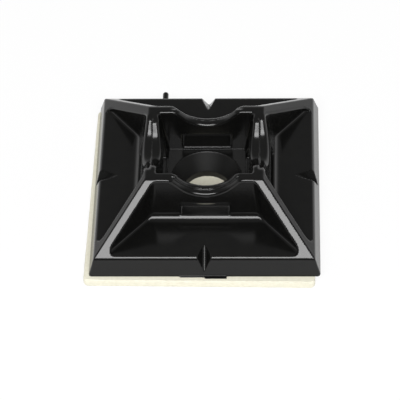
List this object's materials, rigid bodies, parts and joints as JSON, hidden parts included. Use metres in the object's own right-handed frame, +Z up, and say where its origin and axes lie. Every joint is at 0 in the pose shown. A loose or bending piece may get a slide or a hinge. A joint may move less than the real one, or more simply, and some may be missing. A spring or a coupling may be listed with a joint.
{
  "type": "cable tie mount",
  "caption": "Low square pyramid mount on a foam adhesive pad; cable ties thread under the bridges of its central tower from any side, round a cone-seated screw hole.",
  "frame": {"origin": "screw hole axis at the underside of the foam pad, where the mount sticks to a surface", "axes": "+Z up out of the surface along the screw hole, +X across the tower's wide direction, -Y the side nearest the viewer"},
  "size_m": [0.0287, 0.0299, 0.01],
  "materials": {
    "mount_body": "gloss moulded nylon",
    "foam_pad": "matte closed-cell foam"
  },
  "bodies": {
    "root": {"mount_body": "mount_body", "foam_pad": "foam_pad"}
  },
  "joints": []
}
